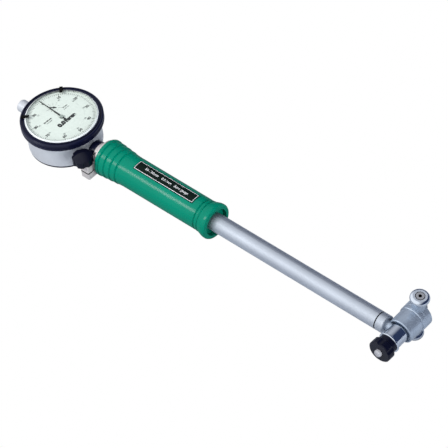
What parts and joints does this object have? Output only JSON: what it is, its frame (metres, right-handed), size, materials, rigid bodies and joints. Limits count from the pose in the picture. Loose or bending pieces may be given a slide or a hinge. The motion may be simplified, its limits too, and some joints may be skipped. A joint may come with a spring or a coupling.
{
  "type": "dial bore gauge",
  "caption": "Dial bore gauge: a dial indicator clamped to a ribbed handle and long tube, ending in a cross-wise head with anvil, measuring plunger and guide rollers.",
  "frame": {"origin": "centre of the dial indicator's flat back cover", "axes": "+X from the dial along the tube to the measuring head, +Y along the measuring axis from the fixed anvil to the guide rollers, +Z the way the dial faces"},
  "size_m": [0.34, 0.057, 0.0422],
  "materials": {
    "case_metal": "satin, fine blasted",
    "black_gloss": "glossy moulded",
    "dial_paint": "matt pale enamel",
    "dial_rim_paint": "satin white",
    "crystal_clear": "clear polished",
    "pointer_black": "matt black",
    "movement_brass": "satin machined",
    "hardened_steel": "ground",
    "spring_steel": "drawn wire",
    "collar_nickel": "satin nickel plate",
    "handle_green": "glossy moulded",
    "label_black": "printed foil",
    "tube_metal": "satin drawn",
    "head_metal": "satin plated",
    "polished_chrome": "polished",
    "carbide": "lapped",
    "bush_plastic": "machined",
    "screw_steel": "bright"
  },
  "bodies": {
    "gauge_body": {"case": "case_metal", "back_cover": "black_gloss", "back_cover_screws": "screw_steel", "stem": "hardened_steel", "spindle_cap": "case_metal", "movement_lower_plate": "movement_brass", "movement_upper_plate": "movement_brass", "movement_pillars": "movement_brass", "hairspring": "spring_steel", "dial_centre": "dial_paint", "stem_ring": "black_gloss", "clamp_collar": "collar_nickel", "handle": "handle_green", "label_plate": "label_black", "tube": "tube_metal", "ferrule": "tube_metal", "rod_bush": "bush_plastic", "head_body": "head_metal", "lever_pin": "hardened_steel", "plunger_retainer": "hardened_steel", "plunger_spring": "spring_steel", "bridge_springs": "spring_steel", "anvil_sleeve": "polished_chrome", "spacer_ring": "polished_chrome", "fixed_anvil": "carbide"},
    "bezel_group": {"bezel": "black_gloss", "crystal": "crystal_clear", "dial_ring": "dial_rim_paint"},
    "marker_a": {"limit_marker_a": "pointer_black"},
    "marker_b": {"limit_marker_b": "pointer_black"},
    "spindle_group": {"spindle": "hardened_steel", "contact_point": "carbide"},
    "rack_gear_group": {"rack_gear": "movement_brass"},
    "pointer_group": {"centre_pinion": "hardened_steel", "main_pointer": "pointer_black"},
    "counter_group": {"counter_gear": "movement_brass", "counter_pointer": "pointer_black"},
    "knob_group": {"clamp_knob": "black_gloss", "clamp_screw": "screw_steel"},
    "rod_group": {"push_rod": "hardened_steel"},
    "lever_group": {"transfer_lever": "hardened_steel"},
    "plunger_group": {"measuring_plunger": "hardened_steel", "plunger_tip": "carbide"},
    "bridge_group": {"guide_bridge": "head_metal", "bridge_pins": "hardened_steel", "upper_roller_screw": "screw_steel", "lower_roller_screw": "screw_steel"},
    "upper_roller_group": {"upper_roller": "polished_chrome"},
    "lower_roller_group": {"lower_roller": "polished_chrome"},
    "nut_group": {"lock_nut": "black_gloss"}
  },
  "joints": [
    {"name": "plunger_slide", "type": "slide", "parent": "gauge_body", "child": "plunger_group", "axis": [0, -1, 0], "range_m": [0, 0.0012], "stiffness_N_per_m": 400, "springref_m": -0.005, "deforming": ["plunger_spring"]},
    {"name": "lever_turn", "type": "hinge", "parent": "gauge_body", "child": "lever_group", "pos_m": [0.2848, 0.0036, 0.01], "axis": [0, 0, 1], "range_deg": [-19.2, 0]},
    {"name": "rod_slide", "type": "slide", "parent": "gauge_body", "child": "rod_group", "axis": [-1, 0, 0], "range_m": [0, 0.0012]},
    {"name": "spindle_slide", "type": "slide", "parent": "gauge_body", "child": "spindle_group", "axis": [-1, 0, 0], "range_m": [0, 0.0012]},
    {"name": "rack_gear_turn", "type": "hinge", "parent": "gauge_body", "child": "rack_gear_group", "pos_m": [0.01055, -0.0031, 0.01], "axis": [0, 0, 1], "range_deg": [0, 43.3]},
    {"name": "counter_turn", "type": "hinge", "parent": "gauge_body", "child": "counter_group", "pos_m": [-0.01055, 0.0031, 0.01], "axis": [0, 0, 1], "range_deg": [0, 43.3]},
    {"name": "pointer_turn", "type": "hinge", "parent": "gauge_body", "child": "pointer_group", "pos_m": [0, 0, 0.01], "axis": [0, 0, 1], "range_deg": [-432.5, 0]},
    {"name": "bezel_turn", "type": "hinge", "parent": "gauge_body", "child": "bezel_group", "pos_m": [0, 0, 0.022], "axis": [0, 0, 1], "continuous": true},
    {"name": "marker_a_turn", "type": "hinge", "parent": "bezel_group", "child": "marker_a", "pos_m": [0, 0, 0.024], "axis": [0, 0, 1], "range_deg": [-125, 35]},
    {"name": "marker_b_turn", "type": "hinge", "parent": "bezel_group", "child": "marker_b", "pos_m": [0, 0, 0.024], "axis": [0, 0, 1], "range_deg": [-35, 125]},
    {"name": "clamp_turn", "type": "hinge", "parent": "gauge_body", "child": "knob_group", "pos_m": [0.033, -0.015, 0.0165], "axis": [0, 0, 1], "range_deg": [0, 540]},
    {"name": "bridge_slide", "type": "slide", "parent": "gauge_body", "child": "bridge_group", "axis": [0, -1, 0], "range_m": [0, 0.0024], "stiffness_N_per_m": 600, "springref_m": -0.004, "deforming": ["bridge_springs"]},
    {"name": "upper_roller_turn", "type": "hinge", "parent": "bridge_group", "child": "upper_roller_group", "pos_m": [0.29112, 0.0173, 0.0282], "axis": [0.1478, 0, 0.989], "continuous": true},
    {"name": "lower_roller_turn", "type": "hinge", "parent": "bridge_group", "child": "lower_roller_group", "pos_m": [0.28568, 0.0173, -0.0082], "axis": [0.1478, 0, 0.989], "continuous": true},
    {"name": "nut_turn", "type": "hinge", "parent": "gauge_body", "child": "nut_group", "pos_m": [0.2884, -0.015, 0.01], "axis": [0, -1, 0], "range_deg": [-360, 0]}
  ],
  "couplings": [
    {"joint": "lever_turn", "follows": "plunger_slide", "rad_per_m": -277.78},
    {"joint": "rod_slide", "follows": "plunger_slide", "ratio": 1},
    {"joint": "spindle_slide", "follows": "plunger_slide", "ratio": 1},
    {"joint": "rack_gear_turn", "follows": "plunger_slide", "rad_per_m": 628.32},
    {"joint": "counter_turn", "follows": "plunger_slide", "rad_per_m": 628.32},
    {"joint": "pointer_turn", "follows": "plunger_slide", "rad_per_m": -6283.2}
  ]
}
